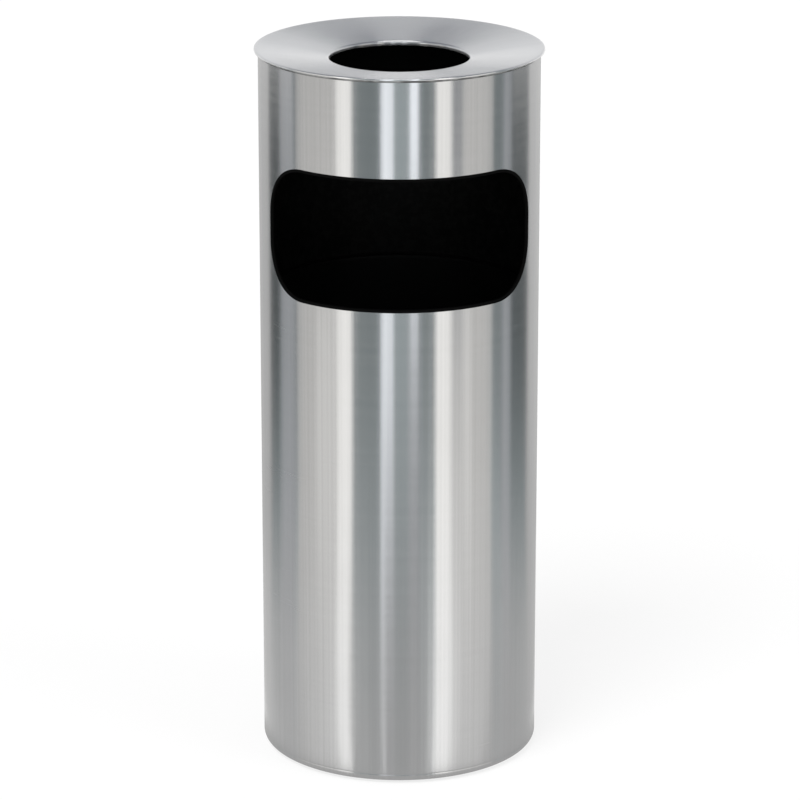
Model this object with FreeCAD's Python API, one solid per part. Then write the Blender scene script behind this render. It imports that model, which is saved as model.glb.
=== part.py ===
import FreeCAD, Part

import math
import os

# Ashtray bin: a brushed stainless tube with a wrapped litter mouth, closed by a dished ashtray
# top with a round hole. Millimetres, +Z up, origin on the floor under the tube's axis.
# The litter mouth faces -Y and the tube's seam is at +Y.

# Driving dimensions
TUBE_D = 250.0
TOTAL_H = 650.0
SHEET = 1.0
FOOT_GAP = 2.0
ROLL_R = 6.0
ROLL_LIP = 4.0

# Litter mouth, as it measures on the tube's outer face with the edge trim on
MOUTH_LOW = 441.0
MOUTH_HIGH = 561.0
MOUTH_HALF_ARC = 142.0
MOUTH_CORNER = 49.0

# Ashtray top
LID_OVERHANG = 3.75
LID_SHEET = 1.0
HEM_T = 2.0
HEM_FLAT = 1.75
DISH_R = 630.0
DISH_RIM_TILT = 4.8
HOLE_R = 62.0
HOLE_ROLL = 2.5
NECK_STRAIGHT = 1.5
COLLAR_T = 0.8
COLLAR_PLAY = 0.6
COLLAR_LOW = 633.0

# Ash pan under the top
PAN_T = 0.8
PAN_RIM_H = 2.2
PAN_PLAY = 1.2
PAN_DEPTH = 58.0
PAN_CORNER = 8.0

# Black sleeve behind the mouth, and the rubber trim on the mouth's edge
SLEEVE_T = 0.8
SLEEVE_LOW = 425.0
TRIM_LIP = 1.6
TRIM_PROUD = 0.6
TRIM_WEB = 1.2

# Seams
SEAM_GAP = 0.5
SEAM_STRIP_W = 24.0
SLEEVE_GAP_TURN = 150.0

# Base pan and feet
BASE_Z = 8.0
BASE_T = 1.2
BASE_FLANGE = 20.0
BASE_BEND = 2.0
RIB_R = 105.2
RIB_H = 3.8
RIB_TOP_W = 4.2
RIB_FOOT_W = 7.4
FOOT_COUNT = 4
FOOT_CIRCLE_R = 85.0
FOOT_TOP_R = 16.0
FOOT_BOTTOM_R = 14.0
FOOT_RECESS_R = 6.5
FOOT_RECESS_H = 4.5
SCREW_R = 2.5
SCREW_HOLE_R = 2.75
SCREW_HEAD_R = 4.6
SCREW_HEAD_H = 2.6
SCREW_END = 15.4
SCREW_SLOT_W = 1.2
SCREW_SLOT_H = 1.0
WASHER_R = 5.5
WASHER_T = 1.0
NUT_FLATS = 8.0
NUT_H = 4.0

# Inner bin
BIN_R = 111.0
BIN_T = 0.7
BIN_TOP = 430.0
BIN_FLOOR = 18.0
BIN_FLOOR_T = 0.8
BIN_FLOOR_BEND = 2.0
RIM_WIRE_R = 2.0
RIM_WIRE_PLAY = 0.05
RIM_CURL_END = -110.0
LOCK_SEAM_W = 8.0
LOCK_SEAM_T = 1.4
LOCK_SEAM_LOW = 12.0
LOCK_SEAM_HIGH = 420.0

# Ears and bail of the inner bin
PIVOT_Z = 412.0
EAR_T = 1.5
EAR_H = 24.0
EAR_W = 36.0
EAR_BRIDGE_W = 16.0
EAR_STANDOFF = 3.5
EAR_HOLE_R = 2.4
EAR_CORNER = 4.0
RIVET_R = 2.0
RIVET_HEAD_R = 4.0
RIVET_HEAD_H = 1.3
BAIL_WIRE_R = 2.0
BAIL_R = 119.6
BAIL_HOOK_R = 4.0
BAIL_GRIP_HALF = 40.0
BAIL_BEND_R = 8.0
BAIL_TIP = 113.35
BAIL_TIP_HEAD_R = 3.5
BAIL_TIP_HEAD_T = 1.2
BAIL_REST_PLAY = 0.3
GRIP_R = 4.5
GRIP_LENGTH = 64.0
GRIP_RING_COUNT = 7
GRIP_RING_R = 0.6

# Worked out from the driving dimensions
TUBE_R = TUBE_D / 2
TUBE_IN_R = TUBE_R - SHEET
SLEEVE_IN_R = TUBE_IN_R - SLEEVE_T
LID_R = TUBE_R + LID_OVERHANG
HEM_LOW = TOTAL_H - HEM_T
PAN_FLANGE_LOW = HEM_LOW - PAN_RIM_H
PAN_R = SLEEVE_IN_R - PAN_PLAY
BASE_TOP = BASE_Z + BASE_T
BIN_IN_R = BIN_R - BIN_T
RIM_R = BIN_R + RIM_WIRE_R
RIM_CURL_R = RIM_WIRE_R + BIN_T
RIM_Z = BIN_TOP - RIM_CURL_R
GRIP_REACH = math.sqrt(BAIL_R ** 2 - BAIL_GRIP_HALF ** 2)
BAIL_REST_TILT = math.degrees(math.asin((BIN_TOP + GRIP_R + BAIL_REST_PLAY - PIVOT_Z) / GRIP_REACH))

V = FreeCAD.Vector
ORIGIN = V(0, 0, 0)
UP = V(0, 0, 1)


# ---- helpers ----

def cylinder(radius, low, high, x=0.0, y=0.0):
    return Part.makeCylinder(radius, high - low, V(x, y, low), UP)


def ring(outer, inner, low, high, x=0.0, y=0.0):
    return cylinder(outer, low, high, x, y).cut(cylinder(inner, low - 1, high + 1, x, y))


def box(low, high):
    size = [b - a for a, b in zip(low, high)]
    return Part.makeBox(*size, V(*low))


def line(a, b):
    return Part.makeLine(V(a[0], 0, a[1]), V(b[0], 0, b[1]))


def arc(center, radius, start, end):
    """Arc in the section plane (radius across, height up), from start to end degrees."""
    def at(angle):
        turn = math.radians(angle)
        return V(center[0] + radius * math.cos(turn), 0, center[1] + radius * math.sin(turn))
    return Part.Arc(at(start), at((start + end) / 2), at(end)).toShape()


def turned(edges):
    """Solid of revolution about the axis from the edges of a closed section."""
    face = Part.Face(Part.Wire(Part.__sortEdges__(edges)))
    return face.revolve(ORIGIN, UP, 360)


def outline(points):
    """Closed run of straight section edges."""
    return [line(a, b) for a, b in zip(points, points[1:] + points[:1])]


def spun(shape, degrees, center=ORIGIN, axis=UP):
    copy = shape.copy()
    copy.rotate(center, axis, degrees)
    return copy


def around(shape, count, start=0.0):
    return [spun(shape, start + 360.0 / count * i) for i in range(count)]


def swept(path_edges, radius, start, direction):
    """Round wire along a smooth path."""
    circle = Part.Wire(Part.makeCircle(radius, start, direction))
    return Part.Wire(path_edges).makePipeShell([circle], True, False)


# ---- tube and what is fixed to it ----

def mouth_block(inset, inner=TUBE_R - 10, outer=TUBE_R + 10):
    """Curved block in the shape of the mouth, inset from its outline, between two radii."""
    half_turn = math.degrees((MOUTH_HALF_ARC - inset) / TUBE_R)
    low = MOUTH_LOW + inset
    high = MOUTH_HIGH - inset
    wedge = Part.makeCylinder(1.5 * TUBE_R, high - low, V(0, 0, low), UP, 2 * half_turn)
    wedge = spun(wedge, 270.0 - half_turn).cut(cylinder(TUBE_R / 2, low - 1, high + 1))
    block = wedge.makeFillet(MOUTH_CORNER - inset, [e for e in wedge.Edges if is_radial(e)])
    return block.common(ring(outer, inner, low - 1, high + 1))


def is_radial(edge):
    a, b = (v.Point for v in edge.Vertexes[:2]) if len(edge.Vertexes) == 2 else (ORIGIN, ORIGIN)
    level = abs(a.z - b.z) < 1e-6
    flat_a = V(a.x, a.y, 0)
    flat_b = V(b.x, b.y, 0)
    longer = abs(flat_a.Length - flat_b.Length) > 1.0
    return level and longer


def back_gap(width, low, high):
    return box((-width / 2, TUBE_R / 2, low - 1), (width / 2, TUBE_R + 5, high + 1))


def tube_section():
    """Straight wall whose lower edge is rolled inwards to a short flat lip."""
    roll = (TUBE_R - ROLL_R, FOOT_GAP + ROLL_R)
    lip_r = TUBE_R - ROLL_R - ROLL_LIP
    return [
        line((TUBE_R, PAN_FLANGE_LOW), (TUBE_R, roll[1])),
        arc(roll, ROLL_R, 360, 270),
        line((roll[0], FOOT_GAP), (lip_r, FOOT_GAP)),
        line((lip_r, FOOT_GAP), (lip_r, FOOT_GAP + SHEET)),
        line((lip_r, FOOT_GAP + SHEET), (roll[0], FOOT_GAP + SHEET)),
        arc(roll, ROLL_R - SHEET, 270, 360),
        line((TUBE_IN_R, roll[1]), (TUBE_IN_R, PAN_FLANGE_LOW)),
        line((TUBE_IN_R, PAN_FLANGE_LOW), (TUBE_R, PAN_FLANGE_LOW)),
    ]


def outer_shell():
    tube = turned(tube_section())
    tube = tube.cut(mouth_block(TRIM_LIP))
    return tube.cut(back_gap(SEAM_GAP, FOOT_GAP, PAN_FLANGE_LOW))


def seam_strip():
    low = BASE_Z + BASE_FLANGE
    strip = ring(TUBE_IN_R, SLEEVE_IN_R, low, SLEEVE_LOW)
    half = SEAM_STRIP_W / 2
    return strip.common(box((-half, TUBE_R / 2, low), (half, TUBE_R, SLEEVE_LOW)))


def throat_sleeve():
    sleeve = ring(TUBE_IN_R, SLEEVE_IN_R, SLEEVE_LOW, PAN_FLANGE_LOW)
    sleeve = sleeve.cut(mouth_block(TRIM_LIP))
    gap = back_gap(SEAM_GAP, SLEEVE_LOW, PAN_FLANGE_LOW)
    return sleeve.cut(spun(gap, SLEEVE_GAP_TURN - 180.0))


def mouth_trim():
    """Rubber channel that wraps the cut edges of the tube and the sleeve."""
    trim = mouth_block(0.0, SLEEVE_IN_R - TRIM_PROUD, TUBE_R + TRIM_PROUD)
    trim = trim.cut(mouth_block(TRIM_LIP + TRIM_WEB))
    groove = ring(TUBE_R, SLEEVE_IN_R, SLEEVE_LOW, PAN_FLANGE_LOW)
    groove = groove.cut(mouth_block(TRIM_LIP))
    return trim.cut(groove)


def base_pan():
    """Pressed disc with an upturned flange and a rib that centres the inner bin."""
    bend = BASE_BEND
    rib_low = [
        (RIB_R - RIB_FOOT_W / 2 + BASE_T / 2, BASE_Z),
        (RIB_R - RIB_TOP_W / 2 + BASE_T / 2, BASE_Z + RIB_H),
        (RIB_R + RIB_TOP_W / 2 - BASE_T / 2, BASE_Z + RIB_H),
        (RIB_R + RIB_FOOT_W / 2 - BASE_T / 2, BASE_Z),
    ]
    rib_top = [
        (RIB_R + RIB_FOOT_W / 2, BASE_TOP),
        (RIB_R + RIB_TOP_W / 2, BASE_TOP + RIB_H),
        (RIB_R - RIB_TOP_W / 2, BASE_TOP + RIB_H),
        (RIB_R - RIB_FOOT_W / 2, BASE_TOP),
    ]
    flange_top = BASE_Z + BASE_FLANGE
    inner = TUBE_IN_R - BASE_T
    under = [(0, BASE_Z)] + rib_low + [(TUBE_IN_R - bend, BASE_Z)]
    over = [(inner - bend + BASE_T, BASE_TOP)] + rib_top + [(0, BASE_TOP)]
    edges = [line(a, b) for a, b in zip(under, under[1:])]
    edges.append(arc((TUBE_IN_R - bend, BASE_Z + bend), bend, 270, 360))
    edges.append(line((TUBE_IN_R, BASE_Z + bend), (TUBE_IN_R, flange_top)))
    edges.append(line((TUBE_IN_R, flange_top), (inner, flange_top)))
    edges.append(line((inner, flange_top), (inner, BASE_Z + bend)))
    edges.append(arc((TUBE_IN_R - bend, BASE_Z + bend), bend - BASE_T, 360, 270))
    edges += [line(a, b) for a, b in zip(over, over[1:])]
    edges.append(line(over[-1], under[0]))
    pan = turned(edges)
    hole = cylinder(SCREW_HOLE_R, BASE_Z - 1, BASE_TOP + 1, FOOT_CIRCLE_R)
    for screw_hole in around(hole, FOOT_COUNT, 45):
        pan = pan.cut(screw_hole)
    return pan


def rubber_feet():
    foot = Part.makeCone(FOOT_BOTTOM_R, FOOT_TOP_R, BASE_Z, V(FOOT_CIRCLE_R, 0, 0), UP)
    foot = foot.cut(cylinder(FOOT_RECESS_R, -1, FOOT_RECESS_H, FOOT_CIRCLE_R))
    foot = foot.cut(cylinder(SCREW_HOLE_R, -1, BASE_Z + 1, FOOT_CIRCLE_R))
    return around(foot, FOOT_COUNT, 45)


def foot_screws():
    head_top = FOOT_RECESS_H - WASHER_T
    head = cylinder(SCREW_HEAD_R, head_top - SCREW_HEAD_H, head_top, FOOT_CIRCLE_R)
    rim = [e for e in head.Edges if abs(e.BoundBox.ZMax - (head_top - SCREW_HEAD_H)) < 1e-6]
    head = head.makeFillet(SCREW_HEAD_H / 2, [e for e in rim if e.Closed])
    screw = head.fuse(cylinder(SCREW_R, head_top - 0.5, SCREW_END, FOOT_CIRCLE_R))
    low = head_top - SCREW_HEAD_H - 1
    slot_half = SCREW_SLOT_W / 2
    slot = box(
        (FOOT_CIRCLE_R - SCREW_HEAD_R - 1, -slot_half, low),
        (FOOT_CIRCLE_R + SCREW_HEAD_R + 1, slot_half, low + 1 + SCREW_SLOT_H),
    )
    return around(screw.cut(slot).removeSplitter(), FOOT_COUNT, 45)


def foot_washers():
    under = ring(WASHER_R, SCREW_HOLE_R, FOOT_RECESS_H - WASHER_T, FOOT_RECESS_H, FOOT_CIRCLE_R)
    over = ring(WASHER_R, SCREW_HOLE_R, BASE_TOP, BASE_TOP + WASHER_T, FOOT_CIRCLE_R)
    return around(under, FOOT_COUNT, 45) + around(over, FOOT_COUNT, 45)


def foot_nuts():
    low = BASE_TOP + WASHER_T
    corner_r = NUT_FLATS / math.sqrt(3)
    turns = [math.radians(60 * i) for i in range(7)]
    points = [V(FOOT_CIRCLE_R + corner_r * math.cos(t), corner_r * math.sin(t), low) for t in turns]
    nut = Part.Face(Part.makePolygon(points)).extrude(V(0, 0, NUT_H))
    nut = nut.cut(cylinder(SCREW_R, low - 1, low + NUT_H + 1, FOOT_CIRCLE_R))
    chamfer = Part.makeCone(corner_r + NUT_H, corner_r - 0.6, NUT_H + 0.6, V(FOOT_CIRCLE_R, 0, low), UP)
    return around(nut.common(chamfer), FOOT_COUNT, 45)


# ---- inner bin ----

def bin_wall():
    """Rolled wall with its rim curled over a wire, and the lock seam down its back."""
    curl_inner = RIM_WIRE_R
    edges = [
        line((BIN_IN_R, BASE_TOP), (BIN_R, BASE_TOP)),
        line((BIN_R, BASE_TOP), (BIN_R, RIM_Z)),
        arc((RIM_R, RIM_Z), curl_inner, 180, RIM_CURL_END),
    ]
    end = math.radians(RIM_CURL_END)
    lip = [(RIM_R + r * math.cos(end), RIM_Z + r * math.sin(end)) for r in (curl_inner, RIM_CURL_R)]
    edges.append(line(lip[0], lip[1]))
    edges.append(arc((RIM_R, RIM_Z), RIM_CURL_R, RIM_CURL_END, 180))
    edges.append(line((BIN_IN_R, RIM_Z), (BIN_IN_R, BASE_TOP)))
    wall = turned(edges)
    seam = ring(BIN_R + LOCK_SEAM_T, BIN_R - BIN_T / 2, LOCK_SEAM_LOW, LOCK_SEAM_HIGH)
    half = LOCK_SEAM_W / 2
    seam = seam.common(box((-half, 0, LOCK_SEAM_LOW), (half, TUBE_R, LOCK_SEAM_HIGH)))
    return wall.fuse(seam).removeSplitter()


def bin_bottom():
    """Disc set up inside the wall, with a flange turned down to the wall's foot."""
    bend = BIN_FLOOR_BEND
    top = BIN_FLOOR + BIN_FLOOR_T
    inner = BIN_IN_R - BIN_FLOOR_T
    corner = (BIN_IN_R - bend, top - bend)
    edges = [
        line((0, BIN_FLOOR), (0, top)),
        line((0, top), (corner[0], top)),
        arc(corner, bend, 90, 0),
        line((BIN_IN_R, corner[1]), (BIN_IN_R, BASE_TOP)),
        line((BIN_IN_R, BASE_TOP), (inner, BASE_TOP)),
        line((inner, BASE_TOP), (inner, corner[1])),
        arc(corner, bend - BIN_FLOOR_T, 0, 90),
        line((corner[0], BIN_FLOOR), (0, BIN_FLOOR)),
    ]
    return turned(edges)


def rim_wire():
    return Part.makeTorus(RIM_R, RIM_WIRE_R - RIM_WIRE_PLAY, V(0, 0, RIM_Z), UP)


def bin_ear():
    """Hat-shaped bracket on the +X side: two riveted flanges and a bridge with the bail's hole."""
    low = PIVOT_Z - EAR_H / 2
    high = PIVOT_Z + EAR_H / 2
    half = EAR_W / 2
    bridge = EAR_BRIDGE_W / 2
    stand = BIN_R + EAR_STANDOFF
    flanges = ring(BIN_R + EAR_T, BIN_R, low, high)
    flanges = flanges.common(box((0, -half, low), (TUBE_R, half, high)))
    flanges = flanges.cut(box((0, -bridge + EAR_T, low - 1), (TUBE_R, bridge - EAR_T, high + 1)))
    top = ring(stand + EAR_T, stand, low, high)
    top = top.common(box((0, -bridge, low), (TUBE_R, bridge, high)))
    web_band = ring(stand + EAR_T / 2, BIN_R + EAR_T / 2, low, high)
    webs = [
        web_band.common(box((0, -bridge, low), (TUBE_R, -bridge + EAR_T, high))),
        web_band.common(box((0, bridge - EAR_T, low), (TUBE_R, bridge, high))),
    ]
    ear = flanges.fuse([top] + webs).removeSplitter()
    hole = Part.makeCylinder(EAR_HOLE_R, 20, V(BIN_R, 0, PIVOT_Z), V(1, 0, 0))
    ear = ear.cut(hole)
    corners = [e for e in ear.Edges if is_ear_corner(e, half, low, high)]
    return ear.makeFillet(EAR_CORNER, corners)


def is_ear_corner(edge, half, low, high):
    center = edge.CenterOfMass
    at_side = abs(abs(center.y) - half) < 1e-3
    at_end = min(abs(center.z - low), abs(center.z - high)) < 1e-3
    return at_side and at_end and edge.Length < 3 * EAR_T


def rivet_angle():
    middle = (EAR_W + EAR_BRIDGE_W) / 4
    return math.degrees(math.asin(middle / BIN_R))


def ear_rivets():
    """Domed rivets through the ears' flanges and the wall."""
    outer = BIN_R + EAR_T
    dome_r = (RIVET_HEAD_R ** 2 + RIVET_HEAD_H ** 2) / (2 * RIVET_HEAD_H)
    head = Part.makeSphere(dome_r, V(outer + RIVET_HEAD_H - dome_r, 0, PIVOT_Z))
    head = head.common(Part.makeCylinder(RIVET_HEAD_R + 1, 10, V(outer, 0, PIVOT_Z), V(1, 0, 0)))
    head = head.cut(cylinder(outer, PIVOT_Z - 10, PIVOT_Z + 10))
    foot = ring(BIN_IN_R, BIN_IN_R - 1.0, PIVOT_Z - 10, PIVOT_Z + 10)
    tail = Part.makeCylinder(RIVET_R + 1, 20, V(BIN_IN_R - 10, 0, PIVOT_Z), V(1, 0, 0))
    shank = Part.makeCylinder(RIVET_R, EAR_T + BIN_T + 2, V(BIN_IN_R - 0.5, 0, PIVOT_Z), V(1, 0, 0))
    rivet = head.fuse([foot.common(tail), shank]).removeSplitter()
    turns = (rivet_angle(), -rivet_angle(), 180 + rivet_angle(), 180 - rivet_angle())
    return [spun(rivet, turn) for turn in turns]


def with_rivet_holes(shape):
    bore = Part.makeCylinder(RIVET_R, 20, V(BIN_IN_R - 10, 0, PIVOT_Z), V(1, 0, 0))
    for turn in (rivet_angle(), -rivet_angle(), 180 + rivet_angle(), 180 - rivet_angle()):
        shape = shape.cut(spun(bore, turn))
    return shape


# ---- bail, drawn lying level along -Y and then tilted up to its rest ----

def bail_side(points, side):
    return [V(side * x, -y, PIVOT_Z) for x, y in points]


def arc_through(side, center, radius, start, end):
    angles = [math.radians(a) for a in (start, (start + end) / 2, end)]
    spots = [(center[0] + radius * math.cos(a), center[1] + radius * math.sin(a)) for a in angles]
    return Part.Arc(*bail_side(spots, side)).toShape()


def bail_path():
    """Pin, hook bend, long arc and small bend on each side, with a straight run at the grip."""
    hook_x = math.sqrt((BAIL_R - BAIL_HOOK_R) ** 2 - BAIL_HOOK_R ** 2)
    hook_end = math.degrees(math.atan2(BAIL_HOOK_R, hook_x))
    reach = GRIP_REACH
    bend_y = reach - BAIL_BEND_R
    bend_x = math.sqrt((BAIL_R - BAIL_BEND_R) ** 2 - bend_y ** 2)
    bend_start = math.degrees(math.atan2(bend_y, bend_x))
    sides = []
    for side in (1, -1):
        pin = Part.makeLine(*bail_side([(BAIL_TIP, 0), (hook_x, 0)], side))
        hook = arc_through(side, (hook_x, BAIL_HOOK_R), BAIL_HOOK_R, -90, hook_end)
        long_arc = arc_through(side, (0, 0), BAIL_R, hook_end, bend_start)
        bend = arc_through(side, (bend_x, bend_y), BAIL_BEND_R, bend_start, 90)
        sides.append([pin, hook, long_arc, bend])
    middle = Part.makeLine(V(bend_x, -reach, PIVOT_Z), V(-bend_x, -reach, PIVOT_Z))
    return sides[0] + [middle] + sides[1][::-1]


def at_rest(shape):
    return spun(shape, -BAIL_REST_TILT, V(0, 0, PIVOT_Z), V(1, 0, 0))


def bail_wire():
    wire = swept(bail_path(), BAIL_WIRE_R, V(BAIL_TIP, 0, PIVOT_Z), V(1, 0, 0))
    heads = []
    for side in (1, -1):
        start = V(side * (BAIL_TIP - BAIL_TIP_HEAD_T), 0, PIVOT_Z)
        heads.append(Part.makeCylinder(BAIL_TIP_HEAD_R, BAIL_TIP_HEAD_T, start, V(side, 0, 0)))
    return at_rest(wire.fuse(heads))


def bail_grip():
    """Moulded tube with ribs, on the straight run of the bail."""
    reach = GRIP_REACH
    start = V(-GRIP_LENGTH / 2, -reach, PIVOT_Z)
    grip = Part.makeCylinder(GRIP_R, GRIP_LENGTH, start, V(1, 0, 0))
    ends = [e for e in grip.Edges if e.Closed]
    grip = grip.makeFillet(GRIP_R / 4, ends)
    grip = grip.cut(Part.makeCylinder(BAIL_WIRE_R, GRIP_LENGTH, start, V(1, 0, 0)))
    step = GRIP_LENGTH / (GRIP_RING_COUNT + 1)
    for i in range(GRIP_RING_COUNT):
        center = V(start.x + step * (i + 1), -reach, PIVOT_Z)
        grip = grip.cut(Part.makeTorus(GRIP_R + GRIP_RING_R / 3, GRIP_RING_R, center, V(1, 0, 0)))
    return at_rest(grip)


# ---- ash pan and ashtray top ----

def ash_pan():
    """Deep-drawn pan that hangs by its folded rim on the tube's top edge."""
    low = HEM_LOW - PAN_DEPTH
    inner = PAN_R - PAN_T
    corner = (PAN_R - PAN_CORNER, low + PAN_CORNER)
    edges = [
        line((0, low), (corner[0], low)),
        arc(corner, PAN_CORNER, 270, 360),
        line((PAN_R, corner[1]), (PAN_R, PAN_FLANGE_LOW)),
        line((PAN_R, PAN_FLANGE_LOW), (TUBE_R, PAN_FLANGE_LOW)),
        line((TUBE_R, PAN_FLANGE_LOW), (TUBE_R, HEM_LOW)),
        line((TUBE_R, HEM_LOW), (inner, HEM_LOW)),
        line((inner, HEM_LOW), (inner, corner[1])),
        arc(corner, PAN_CORNER - PAN_T, 360, 270),
        line((corner[0], low + PAN_T), (0, low + PAN_T)),
        line((0, low + PAN_T), (0, low)),
    ]
    return turned(edges)


def dish_center():
    """Centre of the dish's curve in the section; the dish falls from the rim towards the hole."""
    tilt = math.radians(DISH_RIM_TILT)
    start = LID_R - HEM_T / 2 - HEM_FLAT
    return start + DISH_R * math.sin(tilt), TOTAL_H - DISH_R * math.cos(tilt)


def dish_point(r, radius):
    """Height and angle on the curve of this radius about the dish's centre, r from the axis."""
    center = dish_center()
    across = center[0] - r
    return center[1] + math.sqrt(radius ** 2 - across ** 2), 90 + math.degrees(math.asin(across / radius))


def lid_plate():
    """Dished plate with a folded rim and a short rolled neck round its hole."""
    rim_r = HEM_T / 2
    hem_edge = LID_R - rim_r
    under_r = DISH_R - LID_SHEET
    fold_end = PAN_R + 0.2
    fold_z, fold_angle = dish_point(fold_end, under_r)
    roll_r = HOLE_R + HOLE_ROLL
    roll_z, roll_angle = dish_point(roll_r, DISH_R - HOLE_ROLL)
    neck_low = roll_z - NECK_STRAIGHT
    edges = [
        arc((hem_edge, TOTAL_H - rim_r), rim_r, 90, -90),
        line((hem_edge, TOTAL_H), (hem_edge - HEM_FLAT, TOTAL_H)),
        arc(dish_center(), DISH_R, 90 + DISH_RIM_TILT, roll_angle),
        arc((roll_r, roll_z), HOLE_ROLL, roll_angle, 180),
        line((HOLE_R, roll_z), (HOLE_R, neck_low)),
        line((HOLE_R, neck_low), (HOLE_R + LID_SHEET, neck_low)),
        line((HOLE_R + LID_SHEET, neck_low), (HOLE_R + LID_SHEET, roll_z)),
        arc((roll_r, roll_z), HOLE_ROLL - LID_SHEET, 180, roll_angle),
        arc(dish_center(), under_r, roll_angle, fold_angle),
        line((fold_end, fold_z), (fold_end, HEM_LOW)),
        line((fold_end, HEM_LOW), (hem_edge, HEM_LOW)),
    ]
    return turned(edges)


def lid_collar():
    """Ring welded under the plate; it drops inside the ash pan and centres the top."""
    outer = PAN_R - PAN_T - COLLAR_PLAY
    inner = outer - COLLAR_T
    under_r = DISH_R - LID_SHEET
    return turned(outline([
        (inner, COLLAR_LOW),
        (outer, COLLAR_LOW),
        (outer, dish_point(outer, under_r)[0]),
        (inner, dish_point(inner, under_r)[0]),
    ]))


def save(name, shape):
    solids = shape if isinstance(shape, list) else [shape]
    solids = [solid for item in solids for solid in item.Solids]
    result = solids[0] if len(solids) == 1 else Part.makeCompound(solids)
    result.exportStep(os.path.join("parts", name + ".step"))
    volume = sum(solid.Volume for solid in solids)
    valid = all(solid.isValid() for solid in solids)
    print(f"{name:16s} {len(solids)} solids  {volume / 1000:9.2f} cm3  valid {valid}")


def main():
    os.makedirs("parts", exist_ok=True)
    ear = with_rivet_holes(bin_ear())
    save("outer_shell", outer_shell())
    save("seam_strip", seam_strip())
    save("throat_sleeve", throat_sleeve())
    save("mouth_trim", mouth_trim())
    save("base_pan", base_pan())
    save("rubber_feet", rubber_feet())
    save("foot_screws", foot_screws())
    save("foot_washers", foot_washers())
    save("foot_nuts", foot_nuts())
    save("bin_wall", with_rivet_holes(bin_wall()))
    save("bin_bottom", bin_bottom())
    save("bin_rim_wire", rim_wire())
    save("bin_ear_right", ear)
    save("bin_ear_left", spun(ear, 180))
    save("ear_rivets", ear_rivets())
    save("bail_wire", bail_wire())
    save("bail_grip", bail_grip())
    save("ash_pan", ash_pan())
    save("lid_plate", lid_plate())
    save("lid_collar", lid_collar())
    print(f"bail rest tilt {BAIL_REST_TILT:.3f} degrees above level")


main()
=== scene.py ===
import math

import bpy
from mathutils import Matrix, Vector


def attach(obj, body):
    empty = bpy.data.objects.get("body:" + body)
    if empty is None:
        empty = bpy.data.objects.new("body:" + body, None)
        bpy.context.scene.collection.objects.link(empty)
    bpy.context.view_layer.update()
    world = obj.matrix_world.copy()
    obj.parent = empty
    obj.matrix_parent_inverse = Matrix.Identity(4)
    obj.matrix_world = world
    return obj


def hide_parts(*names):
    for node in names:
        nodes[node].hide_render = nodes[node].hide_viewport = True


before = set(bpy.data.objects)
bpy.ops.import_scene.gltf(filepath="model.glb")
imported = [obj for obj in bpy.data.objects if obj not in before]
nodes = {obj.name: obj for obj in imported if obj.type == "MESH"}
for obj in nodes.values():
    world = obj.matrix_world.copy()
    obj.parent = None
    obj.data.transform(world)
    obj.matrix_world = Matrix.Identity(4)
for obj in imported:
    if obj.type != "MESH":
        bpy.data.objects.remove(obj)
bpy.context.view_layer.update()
bpy.ops.object.select_all(action="DESELECT")
print("stage: frame loaded")


# Small helpers for modelling

def arcPoints(center, radius, start, end, count):
    # Points of an arc in a section, angles in degrees.
    turns = [math.radians(start + (end - start) * i / count) for i in range(count + 1)]
    return [(center[0] + radius * math.cos(t), center[1] + radius * math.sin(t)) for t in turns]


def named(name):
    piece = bpy.context.object
    piece.name = name
    piece.data.name = name
    return piece


def pick(*pieces):
    # Selects only these pieces, and makes the last one active.
    bpy.ops.object.select_all(action="DESELECT")
    for piece in pieces:
        piece.select_set(True)
    bpy.context.view_layer.objects.active = pieces[-1]


def place(*pieces):
    pick(*pieces)
    bpy.ops.object.transform_apply(location=True, rotation=True, scale=True)


def editAll(piece):
    pick(piece)
    bpy.ops.object.mode_set(mode="EDIT")
    bpy.ops.mesh.select_all(action="SELECT")


def applyModifier(piece, kind, **settings):
    bpy.context.view_layer.objects.active = piece
    modifier = piece.modifiers.new(kind.lower(), kind)
    for key, value in settings.items():
        setattr(modifier, key, value)
    bpy.ops.object.modifier_apply(modifier=modifier.name)


def turnSection(name, section, steps, closed=True):
    # Turns a section of (radius, height) points round the vertical axis.
    radius, height = section[0]
    bpy.ops.mesh.primitive_circle_add(vertices=steps, radius=radius, location=(0, 0, height))
    piece = named(name)
    place(piece)
    editAll(piece)
    for nextRadius, nextHeight in section[1:] + (section[:1] if closed else []):
        grow = nextRadius / radius
        rise = {"value": (0, 0, nextHeight - height)}
        bpy.ops.mesh.extrude_edges_move(TRANSFORM_OT_translate=rise)
        bpy.ops.transform.resize(value=(grow, grow, 1), center_override=(0, 0, 0))
        radius, height = nextRadius, nextHeight
    bpy.ops.mesh.select_all(action="SELECT")
    bpy.ops.mesh.remove_doubles(threshold=1e-6)
    if not closed:
        bpy.ops.mesh.fill_holes(sides=0)
        bpy.ops.mesh.select_all(action="SELECT")
    bpy.ops.mesh.normals_make_consistent(inside=False)
    bpy.ops.object.mode_set(mode="OBJECT")
    return piece


def cutWith(piece, cutter):
    applyModifier(piece, "BOOLEAN", operation="DIFFERENCE", object=cutter, solver="EXACT")


def removeObject(piece):
    bpy.data.objects.remove(piece)


def finishPiece(piece, body, slot, *replaced, angle=35):
    pick(piece)
    bpy.ops.object.shade_smooth_by_angle(angle=math.radians(angle))
    piece.data.materials.clear()
    piece.data.materials.append(finishes[slot])
    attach(piece, body)
    if replaced:
        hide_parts(*replaced)


# Shader helpers and the node groups that the materials share

def addNode(tree, kind, x, y, **settings):
    node = tree.nodes.new(kind)
    node.location = (x, y)
    for key, value in settings.items():
        setattr(node, key, value)
    return node


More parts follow.
